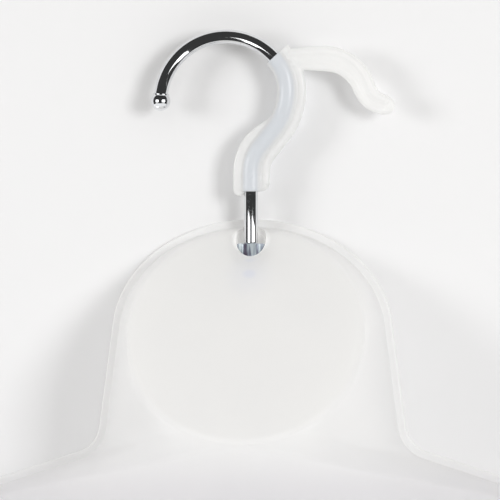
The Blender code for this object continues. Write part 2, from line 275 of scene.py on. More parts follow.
# Cards that the ball mirrors: name, azimuths
BALL_CARDS = [
    ("left_ball_card", (-53, -20)),
    ("right_ball_card", (20, 58)),
]
BALL_CARD_HEIGHTS = (-0.090, 0.050)
BALL_CARD_DISTANCE = 0.28
BALL_CARD_LEVEL = 2.5
UNDER_CARD_SIZE = (0.55, 0.45)
UNDER_CARD_PLACE = (-HOOK_R, -0.06, -0.170)
UNDER_CARD_LEVEL = 0.95

# Room: the even light around the stage
FILL_ABOVE = 0.66  # on matt surfaces
FILL_BELOW = 0.40
FILL_BLEND = 0.4  # how far up and down it goes on changing
ROOM_TINT = (1.0, 0.988, 0.968)
ROOM_IN_GLOSS = 0.045  # the dark room that gloss reflects
BEYOND_PAPER = 0.80  # what is seen past the paper's edges


# Paths in the XZ plane. A heading is 0 to the right, and grows clockwise.

def walk(start, heading, legs):
    """Follow lines and arcs, and give each point with its heading."""
    x, z = start
    points = [(x, z, heading)]
    for size, turn, steps in legs:
        for _ in range(steps):
            bend = radians(turn) / steps
            chord = 2 * size * sin(abs(bend) / 2) if turn else size / steps
            x += chord * cos(heading + bend / 2)
            z -= chord * sin(heading + bend / 2)
            heading += bend
            points.append((x, z, heading))
    return points


def beside(point, distance):
    """The point at a distance to the left of the path."""
    x, z, heading = point
    return x + distance * sin(heading), z + distance * cos(heading)


def bend_point(angle):
    """A point on the hook's bend, with the heading there."""
    return HOOK_R * cos(angle), HOOK_R * sin(angle) - HOOK_R + WIRE_R, pi / 2 - angle


def lean_length():
    """Straight stretch between the two bends, which brings the stem to STEM_X."""
    reach = HOOK_R * cos(HOOK_END) + TIGHT_R * (1 - cos(HOOK_END))
    reach -= (BACK_R + FOOT_R) * (1 - cos(LEAN))
    return (reach - STEM_X) / sin(LEAN)


def wire_points(start_angle, bottom, density):
    """The wire's centreline, from an angle on the bend down to a height on the stem."""
    x, z, heading = bend_point(start_angle)
    arc = degrees(start_angle - HOOK_END)
    bend, lean, stem = (steps * density for steps in WIRE_STEPS)
    legs = [
        (HOOK_R, arc, max(1, round(arc * density / ARC_STEP))),
        (TIGHT_R, degrees(HOOK_END), bend),
        (BACK_R, degrees(LEAN), bend),
        (lean_length(), 0, lean),
        (FOOT_R, -degrees(LEAN), bend),
    ]
    points = walk((x, z), heading, legs)
    drop = points[-1][1] - bottom
    points += walk(points[-1][:2], pi / 2, [(drop, 0, stem)])[1:]
    return points


def quarter(steps):
    """Angles through a quarter turn."""
    return [pi / 2 * step / steps for step in range(steps + 1)]


def eased(share):
    """From 0 to 1 with a gentle start and end."""
    share = min(max(share, 0.0), 1.0)
    return share * share * (3 - 2 * share)


def corner_curve(start, corner, end, t):
    """A point on the curve that rounds a corner."""
    return start * (1 - t) ** 2 + corner * 2 * t * (1 - t) + end * t ** 2


# Mesh helpers

def new_object(name, bm, material, sharp=35):
    """An object with a shaded mesh, in the scene."""
    mesh = bpy.data.meshes.new(name)
    bm.to_mesh(mesh)
    bm.free()
    obj = bpy.data.objects.new(name, mesh)
    bpy.context.scene.collection.objects.link(obj)
    finish_mesh(mesh, material, sharp)
    return obj


def finish_mesh(mesh, material, sharp):
    """Give a mesh its material, and smooth shading up to an angle."""
    mesh.materials.clear()
    if material:
        mesh.materials.append(material)
    mesh.shade_smooth()
    mesh.set_sharp_from_angle(angle=radians(sharp))


def applied(obj, material, sharp=35):
    """Replace an object's mesh by what its modifiers make of it."""
    bpy.context.view_layer.update()
    evaluated = obj.evaluated_get(bpy.context.evaluated_depsgraph_get())
    mesh = bpy.data.meshes.new_from_object(evaluated)
    obj.modifiers.clear()
    old = obj.data
    obj.data = mesh
    bpy.data.meshes.remove(old)
    finish_mesh(mesh, material, sharp)


def combine(obj, bm, operation):
    """Join or cut with a mesh, which is removed after."""
    tool = new_object("tool", bm, None)
    modifier = obj.modifiers.new(operation, "BOOLEAN")
    modifier.operation = operation
    modifier.solver = "EXACT"
    modifier.object = tool
    applied(obj, obj.data.materials[0])
    bpy.data.objects.remove(tool, do_unlink=True)


def bridge(bm, upper, lower):
    """Faces between two rings with as many points."""
    for index in range(len(upper)):
        after = (index + 1) % len(upper)
        bm.faces.new((upper[index], upper[after], lower[after], lower[index]))


def turned(profile, axis_x, sides=64):
    """A closed body turned round a vertical axis at y = 0.

    The profile runs (radius, z) from the bottom to the top, and closes on itself if it
    doesn't start on the axis.
    """
    bm = bmesh.new()
    rings = []
    for radius, z in profile:
        if radius == 0.0:
            rings.append([bm.verts.new((axis_x, 0.0, z))])
            continue
        ring = []
        for side in range(sides):
            angle = 2 * pi * side / sides
            x = axis_x + radius * cos(angle)
            ring.append(bm.verts.new((x, radius * sin(angle), z)))
        rings.append(ring)
    pairs = list(zip(rings, rings[1:]))
    if len(rings[0]) > 1 and len(rings[-1]) > 1:
        pairs.append((rings[-1], rings[0]))
    for lower, upper in pairs:
        for side in range(sides):
            after = (side + 1) % sides
            corners = [lower[side % len(lower)], lower[after % len(lower)]]
            corners += [upper[after % len(upper)], upper[side % len(upper)]]
            corners = list(dict.fromkeys(corners))
            if len(corners) > 2:
                bm.faces.new(corners)
    bmesh.ops.recalc_face_normals(bm, faces=bm.faces)
    return bm


def swept(points, radius_at, sides):
    """A capped round body along a path in the XZ plane."""
    bm = bmesh.new()
    rings = []
    for index, point in enumerate(points):
        ring = []
        for side in range(sides):
            angle = 2 * pi * side / sides
            radius = radius_at(index, angle)
            x, z = beside(point, radius * cos(angle))
            ring.append(bm.verts.new((x, radius * sin(angle), z)))
        rings.append(ring)
    for upper, lower in zip(rings, rings[1:]):
        bridge(bm, upper, lower)
    bm.faces.new(rings[0])
    bm.faces.new(rings[-1][::-1])
    bmesh.ops.recalc_face_normals(bm, faces=bm.faces)
    return bm


def plate(outline, thickness):
    """A flat outline in the XZ plane, as a closed plate centred on it."""
    bm = bmesh.new()
    face = bm.faces.new([bm.verts.new((x, -thickness / 2, z)) for x, z in outline])
    extruded = bmesh.ops.extrude_face_region(bm, geom=[face], use_keep_orig=True)
    moved = [item for item in extruded["geom"] if isinstance(item, bmesh.types.BMVert)]
    bmesh.ops.translate(bm, verts=moved, vec=(0, thickness, 0))
    bmesh.ops.recalc_face_normals(bm, faces=bm.faces)
    return bm


def joined(meshes):
    """One mesh that holds several closed bodies."""
    total = bmesh.new()
    for bm in meshes:
        mesh = bpy.data.meshes.new("part")
        bm.to_mesh(mesh)
        bm.free()
        total.from_mesh(mesh)
        bpy.data.meshes.remove(mesh)
    return total


# Materials

def feed(tree, node, inputs):
    """Set a node's inputs to values, or link them from other nodes' outputs."""
    for key, value in inputs.items():
        if isinstance(value, bpy.types.NodeSocket):
            tree.links.new(value, node.inputs[key])
        else:
            node.inputs[key].default_value = value
    return node


def add_node(tree, kind, inputs):
    """A new node with its inputs fed."""
    return feed(tree, tree.nodes.new(kind), inputs)


def shader_of(name):
    """A new material with its node tree and main shader."""
    material = bpy.data.materials.new(name)
    material.use_nodes = True
    tree = material.node_tree
    return material, tree, tree.nodes["Principled BSDF"]


def object_place(tree):
    """Each point's place in the object's own metres."""
    return tree.nodes.new("ShaderNodeTexCoord").outputs["Object"]


def noise(tree, scale, detail, rough, stretch=None):
    """Noise over the object's own metres."""
    place = object_place(tree)
    if stretch:
        mapping = add_node(tree, "ShaderNodeMapping", {"Vector": place, "Scale": stretch})
        place = mapping.outputs["Vector"]
    inputs = {"Vector": place, "Scale": scale, "Detail": detail, "Roughness": rough}
    return add_node(tree, "ShaderNodeTexNoise", inputs).outputs["Fac"]


def ramp(tree, value, stops):
    """Colours at positions along a value."""
    node = add_node(tree, "ShaderNodeValToRGB", {"Fac": value})
    elements = node.color_ramp.elements
    while len(elements) < len(stops):
        elements.new(0.5)
    for element, (position, color) in zip(elements, stops):
        element.position = position
        element.color = (*color, 1.0)
    return node.outputs["Color"]


def spread(tree, value, low, high, start=0.3, end=0.7):
    """Map a value's range to another, with noise's usual range as the first."""
    inputs = {"Value": value, "From Min": start, "From Max": end, "To Min": low, "To Max": high}
    return add_node(tree, "ShaderNodeMapRange", inputs).outputs["Result"]


def bump(tree, height, strength, distance, normal=None):
    """Relief from a value, over another relief if one is given."""
    inputs = {"Height": height, "Strength": strength, "Distance": distance}
    if normal:
        inputs["Normal"] = normal
    return add_node(tree, "ShaderNodeBump", inputs).outputs["Normal"]


def near(tree, centre, size, inner, outer):
    """1 at a place and 0 away from it, with distances in units of a size."""
    mapping = tree.nodes.new("ShaderNodeMapping")
    mapping.vector_type = "TEXTURE"
    feed(tree, mapping, {"Vector": object_place(tree), "Location": centre, "Scale": size})
    length = tree.nodes.new("ShaderNodeVectorMath")
    length.operation = "LENGTH"
    feed(tree, length, {0: mapping.outputs["Vector"]})
    fade = tree.nodes.new("ShaderNodeMapRange")
    fade.interpolation_type = "SMOOTHSTEP"
    feed(tree, fade, {"Value": length.outputs["Value"], "From Min": inner, "From Max": outer,
                      "To Min": 1.0, "To Max": 0.0})
    return fade.outputs["Result"]


def mixed(tree, blend, share, first, second):
    """Two colours, mixed or multiplied by a share."""
    node = tree.nodes.new("ShaderNodeMix")
    node.data_type = "RGBA"
    node.blend_type = blend
    return feed(tree, node, {"Factor": share, "A": first, "B": second}).outputs["Result"]


def arithmetic(tree, operation, first, second):
    """One value out of two, each a number or another node's output."""
    node = tree.nodes.new("ShaderNodeMath")
    node.operation = operation
    return feed(tree, node, {0: first, 1: second}).outputs["Value"]


def show_mix(tree, share, first, second):
    """Put a mix of two shaders on the surface."""
    inputs = {0: share, 1: first.outputs["BSDF"], 2: second.outputs["BSDF"]}
    mix = add_node(tree, "ShaderNodeMixShader", inputs)
    feed(tree, tree.nodes["Material Output"], {"Surface": mix.outputs["Shader"]})


def frosted(name, tint, shade, warm, glow, roughness, grain, painted_shades, lit=None):
    """Milky plastic: part of its light scatters back and part passes through.

    Painted shade darkens it where things lie behind, and a painted glow is emitted where it
    would carry light.
    """
    material, tree, shader = shader_of(name)
    cloud = noise(tree, 38.0, 4.0, 0.55)
    speck = noise(tree, 900.0, 2.0, 0.6)
    color = ramp(tree, cloud, [(0.3, shade), (0.7, tint)])
    # Painted shade: tones multiplied over the plastic's colour
    for share, tone in painted_shades(tree):
        color = mixed(tree, "MULTIPLY", share, color, (*tone, 1.0))
    normal = bump(tree, speck, grain, 0.00006, bump(tree, cloud, 0.25, 0.0006))
    feed(tree, shader, {
        "Base Color": color,
        "Roughness": spread(tree, cloud, roughness + 0.04, roughness - 0.04),
        "IOR": 1.49,
        "Normal": normal,
    })
    # Painted glow: light emitted by the plastic, which is no lamp
    if lit:
        feed(tree, shader, {"Emission Color": PAINTED_GLOW_TINT, "Emission Strength": lit(tree)})
    inputs = {"Color": (*warm, 1.0), "Normal": normal}
    passed = add_node(tree, "ShaderNodeBsdfTranslucent", inputs)
    show_mix(tree, glow, shader, passed)
    return material


def sleeve_painted_shade(tree):
    """Painted shade of the wire where the sleeve covers it, from the mesh's own values."""
    node = tree.nodes.new("ShaderNodeAttribute")
    node.attribute_name = "wire_seen"
    return [(node.outputs["Fac"], WIRE_SHADE_TONE)]


def shell_painted_shades(tree):
    """The shell's painted shades, each with where it shows."""
    return [(near(tree, *place), tone) for place, tone in SHELL_PAINTED_SHADES]


def painted_glow(tree):
    """Painted glow at the nut's seat and along the cap's lower edge, standing in for light that
    the plastic carries there.
    """
    seat = near(tree, SEAT_MIDDLE, SEAT_SIZE, 1.0, 1.35)
    seat = arithmetic(tree, "MULTIPLY", seat, SEAT_GLOW)
    wide = near(tree, CAP_MIDDLE, CAP_SIZE, 1.0, 1.03)
    narrow = near(tree, CAP_MIDDLE, CAP_SIZE, 0.95, 0.99)
    low = near(tree, EDGE_MIDDLE, EDGE_SIZE, 0.3, 1.0)
    edge = arithmetic(tree, "SUBTRACT", wide, narrow)
    edge = arithmetic(tree, "MULTIPLY", edge, low)
    edge = arithmetic(tree, "MULTIPLY", edge, EDGE_GLOW)
    return arithmetic(tree, "ADD", seat, edge)


def chrome_plate(name):
    """Bright chrome with faint drawing marks and handling smears."""
    material, tree, shader = shader_of(name)
    smear = noise(tree, 160.0, 4.0, 0.6)
    lines = noise(tree, 700.0, 3.0, 0.6, (1.0, 1.0, 0.08))
    stops = [(0.3, (0.76, 0.77, 0.79)), (0.7, (0.83, 0.84, 0.85))]
    feed(tree, shader, {
        "Base Color": ramp(tree, smear, stops),
        "Metallic": 1.0,
        "Roughness": spread(tree, smear, 0.035, 0.085),
        "Normal": bump(tree, lines, 0.05, 0.00003),
    })
    return material


def zinc_plate(name):
    """Blue-white zinc with a fine crystalline mottle."""
    material, tree, shader = shader_of(name)
    mottle = noise(tree, 420.0, 3.0, 0.6, (1.0, 1.0, 0.12))
    stops = [(0.40, (0.17, 0.15, 0.21)), (0.47, (0.42, 0.47, 0.56)), (0.54, (0.84, 0.94, 0.99))]
    feed(tree, shader, {
        "Base Color": ramp(tree, mottle, stops),
        "Metallic": 0.55,
        "Roughness": spread(tree, mottle, 0.16, 0.30),
        "Normal": bump(tree, mottle, 0.15, 0.00004),
    })
    return material


def nylon_body(name):
    """Cream nylon, a little cloudy."""
    material, tree, shader = shader_of(name)
    cloud = noise(tree, 400.0, 3.0, 0.5)
    stops = [(0.3, (0.78, 0.74, 0.60)), (0.7, (0.88, 0.85, 0.74))]
    feed(tree, shader, {
        "Base Color": ramp(tree, cloud, stops),
        "Roughness": spread(tree, cloud, 0.38, 0.5),
        "Subsurface Weight": 0.2,
        "Subsurface Radius": (0.001, 0.001, 0.0008),
        "Normal": bump(tree, cloud, 0.1, 0.00005),
    })
    return material


# Shell

def cap_depth(z, inset):
    """Depth of the cap in front of the skin's rim at a height."""
    return RIDGE + (ARCH_TOP - z) / tan(CAP_SLOPE) - inset * (1 / sin(CAP_SLOPE) - 1)


def cap_height(y):
    """Height of the roof over the boss: the level ridge and the sloping cap."""
    slope_start = RIM_Y - WALL - RIDGE
    return ARCH_TOP - max(0.0, slope_start - y) * tan(CAP_SLOPE)


def chest_depth(share):
    """Depth of the front at the centre line, smooth through CHEST_DEPTHS."""
    last = len(CHEST_DEPTHS) - 1
    place = min(max(share, 0.0), 1.0) * last
    index = min(int(place), last - 1)
    t = place - index
    knots = [min(max(index + k, 0), last) for k in (-1, 0, 1, 2)]
    before, start, end, after = (CHEST_DEPTHS[knot] for knot in knots)
    bend = 2 * before - 5 * start + 4 * end - after
    twist = -before + 3 * start - 3 * end + after
    return start + 0.5 * t * (end - before + t * (bend + t * twist))


def cap_ends(inset):
    """Top and bottom of a skin's cap, in Z."""
    return ARCH_TOP - inset, FRONT_TOP - inset * (1 / sin(CAP_SLOPE) - 1) * tan(CAP_SLOPE)


def section_end(share, inset):
    """Where a section ends: on the cap's edge up to 1, then down the centre line."""
    top, bottom = cap_ends(inset)
    if share <= 1.0:
        angle = pi * share
        x = (CAP_HALF_W - 0.8 * inset) * sin(angle) if share < 1.0 else 0.0
        z = (top + bottom) / 2 + (top - bottom) / 2 * cos(angle)
        return x, z, cap_depth(z, inset), CHEST_DEPTHS[0]
    down = share - 1.0
    depth = chest_depth(down)
    return 0.0, bottom + (FRONT_BOTTOM - bottom) * down, depth, depth


def silhouette():
    """Stations down the right half's rim: point with heading, and inner end."""
    stations = []
    end_angle = atan2(ARCH_HALF_W * cos(NECK_DRAFT), ARCH_HALF_H * sin(NECK_DRAFT))
    for step in range(ARCH_STEPS + 1):
        angle = end_angle * step / ARCH_STEPS
        x = ARCH_HALF_W * sin(angle)
        z = ARCH_TOP - ARCH_HALF_H * (1 - cos(angle))
        heading = atan2(ARCH_HALF_H * sin(angle), ARCH_HALF_W * cos(angle))
        stations.append(((x, z, heading), ARCH_REACH * step / ARCH_STEPS))
    reach = ARCH_REACH
    for size, turn, steps, end_reach in BODY_PATH:
        last = stations[-1][0]
        leg = walk(last[:2], last[2], [(size, turn, steps)])[1:]
        for step, point in enumerate(leg, start=1):
            share = end_reach if step == steps else reach + (end_reach - reach) * step / steps
            stations.append((point, share))
        reach = end_reach
    corner_x, hem_z, _ = stations[-1][0]
    for step in range(1, HEM_STEPS + 1):
        x = corner_x * (1 - step / HEM_STEPS)
        stations.append(((x, hem_z, pi), reach))
    return stations


def section(station, inset):
    """One section of a skin, from just inside the rim to its inner end."""
    point, share = station
    rim = RIM_Y - WALL + inset
    end_x, end_z, end_depth, full_depth = section_end(share, inset)
    sweep = asin(min(1.0, end_depth / full_depth))
    x, z = beside(point, -inset)
    if abs(point[0]) < CENTRED:
        x = 0.0
    span = sqrt((end_x - x) ** 2 + (end_z - z) ** 2)
    first_speed = full_depth * sweep
    last_speed = sweep * sqrt((full_depth * cos(sweep)) ** 2
                              + (span * sin(sweep) / (1 - cos(sweep))) ** 2)
    first = min(RIM_FILLET / first_speed, RIM_LIMIT)
    last = min(CAP_FILLET / last_speed, EDGE_LIMIT)
    shares = [first + (1 - first - last) * k / (COLUMNS - EDGE_COLUMNS)
              for k in range(COLUMNS - EDGE_COLUMNS + 1)]
    shares += [1 - last * (1 - k / EDGE_COLUMNS) for k in range(1, EDGE_COLUMNS + 1)]
    row = []
    for share_along in shares:
        angle = sweep * share_along
        inward = (1 - cos(angle)) / (1 - cos(sweep))
        y = rim - full_depth * sin(angle)
        row.append(Vector((x + (end_x - x) * inward, y, z + (end_z - z) * inward)))
    return row


def cap_row(edge, inset):
    """From the cap's edge over the flat cap to its middle."""
    top, bottom = cap_ends(inset)
    z = (top + bottom) / 2
    middle = Vector((0.0, RIM_Y - WALL + inset - cap_depth(z, inset), z))
    reach = (edge - middle).length
    row = [edge.lerp(middle, min(CAP_FILLET * k / EDGE_COLUMNS / reach, 1.0))
           for k in range(1, EDGE_COLUMNS + 1)]
    row += [middle.lerp(row[-1], share) for share in CAP_RINGS]
    return row + [middle]


def rim_row(station, front_start, back_start):
    """From the front skin round the flange to the back skin."""
    point = station[0]
    centred = abs(point[0]) < CENTRED
    face = RIM_Y - WALL

    def at(distance, y):
        x, z = beside(point, distance)
        return Vector((0.0 if centred else x, y, z))

    row = []
    corner = at(0.0, face)
    landing = at(RIM_FILLET, face)
    for k in range(1, ROUND_STEPS + 1):
        row.append(corner_curve(front_start, corner, landing, k / ROUND_STEPS))
    middle = FLANGE - TIP_R
    for angle in quarter(ROUND_STEPS):
        row.append(at(middle + TIP_R * sin(angle), face + TIP_R - TIP_R * cos(angle)))
    for angle in quarter(ROUND_STEPS):
        row.append(at(middle + TIP_R * cos(angle), RIM_Y - TIP_R + TIP_R * sin(angle)))
    corner = at(-WALL, RIM_Y)
    landing = at(-WALL + RIM_FILLET, RIM_Y)
    for k in range(ROUND_STEPS):
        row.append(corner_curve(landing, corner, back_start, k / ROUND_STEPS))
    return row


def soften(rows, edge_rows, ends):
    """Round the cap's edge: move what is near it into the corner."""
    tree = KDTree(len(edge_rows))
    for index, row in enumerate(edge_rows):
        tree.insert(row[ends], index)
    tree.balance()
    inward = []
    for index, row in enumerate(edge_rows):
        before = edge_rows[max(index - 1, 0)][ends]
        after = edge_rows[min(index + 1, len(edge_rows) - 1)][ends]
        along = (after - before).normalized()
        over = row[-1] - row[ends]
        over = (over - along * over.dot(along)).normalized()
        down = row[ends - 2] - row[ends]
        if index == len(edge_rows) - 1:
            down = Vector((0.0, 0.0, -1.0))
            along = Vector((1.0, 0.0, 0.0))
            over = over - along * over.dot(along)
        down = (down - along * down.dot(along)).normalized()
        inward.append((down + over) * 0.5)
    moves = []
    for row in rows:
        for vert in row:
            _, index, distance = tree.find(vert)
            if distance < CAP_FILLET:
                push = CAP_FILLET / 2 * (1 - distance / CAP_FILLET) ** 2
                moves.append((vert, inward[index] * push))
    for vert, move in moves:
        centred = abs(vert.x) < CENTRED
        vert += move
        if centred:
            vert.x = 0.0


def skin(stations, inset):
    """Rows of a skin, its cap included, with the cap's edge rounded."""
    rows = []
    for station in stations:
        row = section(station, inset)
        if station[1] <= 1.0:
            row += cap_row(row[-1], inset)
        rows.append(row)
    with_cap = [row for row in rows if len(row) > COLUMNS + 2]
    soften(rows, with_cap, COLUMNS)
    return rows


def shell_half():
    """The right half of the shell, both skins and the rim, round the stem's axis."""
    stations = silhouette()
    front = skin(stations, 0.0)
    back = skin(stations, WALL)
    bm = bmesh.new()
    loops = []
    for station, outer, inner in zip(stations, front, back):
        points = outer[::-1] + rim_row(station, outer[0], inner[0]) + inner
        verts = [bm.verts.new(point) for point in points]
        loops.append((verts, len(outer)))
    for (upper, upper_cap), (lower, lower_cap) in zip(loops, loops[1:]):
        skipped = max(0, upper_cap - lower_cap)
        upper = upper[skipped:len(upper) - skipped]
        for index in range(len(lower) - 1):
            bm.faces.new((upper[index], upper[index + 1], lower[index + 1], lower[index]))
    bmesh.ops.remove_doubles(bm, verts=bm.verts, dist=MERGED)
    bmesh.ops.recalc_face_normals(bm, faces=bm.faces)
    return bm


def boss_cylinder():
    """The boss on the stem, whose top follows the cap inside its wall."""
    bm = bmesh.new()
    bmesh.ops.create_cone(bm, cap_ends=True, segments=64, radius1=BOSS_R, radius2=BOSS_R,
                          depth=1.0)
    for vert in bm.verts:
        if vert.co.z > 0:
            vert.co.z = cap_height(vert.co.y) - WALL * BOSS_COVER
        else:
            vert.co.z = BOSS_BOTTOM
    bmesh.ops.triangulate(bm, faces=bm.faces)
    bmesh.ops.translate(bm, verts=bm.verts, vec=(STEM_X, 0, 0))
    return bm


def build_shell(material):
    """The form: shell with its boss, nut's seat and bore."""
    obj = new_object("form_shell", shell_half(), material)
    obj.data.transform(Matrix.Translation((STEM_X, 0, 0)))
    mirror = obj.modifiers.new("mirror", "MIRROR")
    centre = bpy.data.objects.new("centre", None)
    centre.location = (STEM_X, 0, 0)
    bpy.context.scene.collection.objects.link(centre)
    mirror.mirror_object = centre
    mirror.merge_threshold = MIRROR_MERGED
    applied(obj, material)
    bpy.data.objects.remove(centre, do_unlink=True)
    combine(obj, boss_cylinder(), "UNION")
    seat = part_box("top_nut")[0][2] - SEAT_GAP
    for radius, low, high in ((POCKET_R, seat, SEAT_OPEN), (BORE_R, BORE_OPEN, seat + PAST)):
        hole = turned([(0, low), (radius, low), (radius, high), (0, high)], STEM_X)
        combine(obj, hole, "DIFFERENCE")
    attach(obj, "form")
    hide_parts("body_shell")


# Hook

def build_wire(material):
    """The wire, with a rolled thread on the end that takes the nuts."""
    stem_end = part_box("hook_wire")[0][2]
    thread_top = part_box("top_nut")[1][2] + THREAD_ABOVE
    plain = wire_points(HOOK_START, thread_top, WIRE_DENSITY)
    length = thread_top - stem_end
    rows = int(length / THREAD_PITCH * THREAD_STEPS)
    points = plain + walk(plain[-1][:2], pi / 2, [(length, 0, rows)])[1:]
    last = len(points) - 1

    def radius_at(index, angle):
        if index < len(plain):
            return WIRE_R if index else WIRE_R * WIRE_END
        along = (index - len(plain)) / THREAD_STEPS
        turn = along - angle / (2 * pi)
        groove = abs((turn % 1.0) * 2 - 1)
        groove = min(1.0, max(0.0, groove * (1 + 2 * THREAD_FLAT) - THREAD_FLAT))
        radius = WIRE_R - THREAD_DEPTH * groove * min(1.0, along)
        end = min(1.0, (last - index + 1) / THREAD_STEPS)
        return radius * (THREAD_LEAD + (1 - THREAD_LEAD) * end)

    obj = new_object("hook_rod", swept(points, radius_at, WIRE_SIDES), material, 50)
    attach(obj, "hook")
    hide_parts("hook_wire")
    return obj


def build_ball(material):
    """A turned ball with a short collar, pressed on the wire's end."""
    x, z, heading = bend_point(HOOK_START)
    profile = []
    end = pi - asin(COLLAR_R / BALL_R)
    for step in range(BALL_STEPS + 1):
        angle = end * step / BALL_STEPS
        radius = BALL_R * sin(angle) if step else 0.0
        profile.append((radius, -BALL_R * cos(angle)))
    top = sqrt(BALL_R ** 2 - COLLAR_R ** 2)
    profile += [(radius, top + rise) for radius, rise in COLLAR_PROFILE]
    bm = turned(profile, 0.0, ROUND_SIDES)
    bm.transform(Matrix.Rotation(heading + pi / 2, 4, "Y"))
    centre_x = x - BALL_SOCKET * cos(heading)
    centre_z = z + BALL_SOCKET * sin(heading)
    bmesh.ops.translate(bm, verts=bm.verts, vec=(centre_x, 0, centre_z))
    obj = new_object("ball_tip", bm, material, 40)
    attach(obj, "hook")
    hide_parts("hook_ball_tip")
    return obj


def sleeve_outline(trim):
    """Outline of the flanges beside the wire, trimmed all round, with rounded lobes."""
    points = wire_points(SLEEVE_START, SLEEVE_END, 1)
    outer_side = []
    inner_side = []
    for index, point in enumerate(points):
        widened = eased((WIDEN_TOP - point[1]) / WIDEN_DROP)
        inner = SLEEVE_INNER + (SLEEVE_LOWER - SLEEVE_INNER) * widened
        outer = SLEEVE_OUTER - SLEEVE_NARROW * (1 - min(index / 3, 1.0))
        outer_side.append(beside(point, outer - trim))
        inner_side.append(beside(point, -inner + trim))
    end_x, end_z, _ = points[-1]
    right_low = end_z + RIGHT_LOBE + trim
    left_low = end_z + LEFT_LOBE + trim
    bottom = []
    for angle in quarter(LOBE_STEPS):
        x = end_x + SLEEVE_OUTER - trim - LOBE_R * (1 - cos(angle))
        bottom.append((x, right_low + LOBE_R * (1 - sin(angle))))
    bottom.append((end_x + LOBE_MOUTH, right_low + MOUTH_RISE[0]))
    bottom.append((end_x - LOBE_MOUTH, left_low + MOUTH_RISE[1]))
    for angle in quarter(LOBE_STEPS):
        x = end_x - SLEEVE_LOWER + trim + LOBE_R * (1 - sin(angle))
        bottom.append((x, left_low + LOBE_R * (1 - cos(angle))))
    outer_side = [p for p in outer_side if p[1] > right_low + LOBE_R]
    inner_side = [p for p in inner_side if p[1] > left_low + LOBE_R]
    return outer_side + bottom + inner_side[::-1]


def branch_points():
    """The counter-hook's centreline."""
    return walk(BRANCH_START, 0.0, BRANCH_PATH)


def branch_half(index, last):
    """Half width of the counter-hook at a point of its path."""
    share = index / last
    if share < BRANCH_SWELL:
        rise = sin(pi / 2 * share / BRANCH_SWELL)
        return BRANCH_ROOT_W + (BRANCH_HALF_W - BRANCH_ROOT_W) * rise
    fall = (share - BRANCH_SWELL) / (1 - BRANCH_SWELL)
    return BRANCH_HALF_W + (BRANCH_TIP_W - BRANCH_HALF_W) * fall


def branch_outline(trim):
    """Outline of the counter-hook, which narrows to a round tip."""
    points = branch_points()
    last = len(points) - 1
    left = [beside(p, branch_half(i, last) - trim) for i, p in enumerate(points)]
    right = [beside(p, trim - branch_half(i, last)) for i, p in enumerate(points)]
    x, z, heading = points[-1]
    tip_r = BRANCH_TIP_W - trim
    tip = []
    for step in range(1, TIP_STEPS):
        angle = pi * step / TIP_STEPS
        ahead = tip_r * sin(angle)
        across = tip_r * cos(angle)
        tip.append((
            x + ahead * cos(heading) + across * sin(heading),
            z - ahead * sin(heading) + across * cos(heading),
        ))
    return left + tip + right[::-1]


def bead(points, offset_at, radius):
    """A round bead that follows a path at an offset."""
    line = []
    for index, point in enumerate(points):
        x, z = beside(point, offset_at(index))
        line.append((x, z, point[2]))
    return swept(line, lambda index, angle: radius, BEAD_SIDES)


def paint_wire_shade(mesh):
    """Store how much painted shade of the wire, seen through the sleeve, each point of the
    sleeve gets.
    """
    line = wire_points(SLEEVE_START + radians(2), SLEEVE_END, 8)
    tree = KDTree(len(line))
    for index, (x, z, _) in enumerate(line):
        tree.insert((x, 0.0, z), index)
    tree.balance()
    # The painted shade of the wire, stored on the sleeve's points
    values = mesh.attributes.new("wire_seen", "FLOAT", "POINT")
    for index, vert in enumerate(mesh.vertices):
        distance = tree.find((vert.co.x, 0.0, vert.co.z))[2]
        share = (WIRE_EDGE[1] - distance) / (WIRE_EDGE[1] - WIRE_EDGE[0])
        values.data[index].value = eased(share)


def build_sleeve(material):
    """Moulded sleeve: tube, flanges with beaded edges, and the counter-hook."""
    path = wire_points(SLEEVE_START, SLEEVE_END, 1)
    branch = branch_points()
    last = len(branch) - 1
    bodies = [swept(path, lambda index, angle: SLEEVE_R, SLEEVE_SIDES)]
    bodies += [plate(sleeve_outline(trim), PLATE_T * share) for trim, share in PLATE_LAYERS]
    bodies += [plate(branch_outline(trim), PLATE_T * share) for trim, share in BRANCH_LAYERS]
    bodies += [
        bead(path[:-3], lambda index: SLEEVE_OUTER - OUTER_BEAD[0], OUTER_BEAD[1]),
        bead(branch, lambda index: branch_half(index, last) - UPPER_BEAD[0], UPPER_BEAD[1]),
        bead(branch, lambda index: LOWER_BEAD[0] - branch_half(index, last), LOWER_BEAD[1]),
    ]
    obj = new_object("sleeve_moulding", joined(bodies), material)
    remesh = obj.modifiers.new("remesh", "REMESH")
    remesh.mode = "VOXEL"
    remesh.voxel_size = VOXEL
    smooth = obj.modifiers.new("smooth", "SMOOTH")
    smooth.factor = SMOOTH_FACTOR
    smooth.iterations = SMOOTH_ROUNDS
    applied(obj, material)
    bore = wire_points(SLEEVE_BORE_START, SLEEVE_BORE_END, 1)
    combine(obj, swept(bore, lambda index, angle: SLEEVE_BORE_R, SLEEVE_SIDES), "DIFFERENCE")
    finish_mesh(obj.data, material, SLEEVE_SHARP)
    paint_wire_shade(obj.data)
    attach(obj, "hook")
    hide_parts("hook_sleeve")


# Fasteners

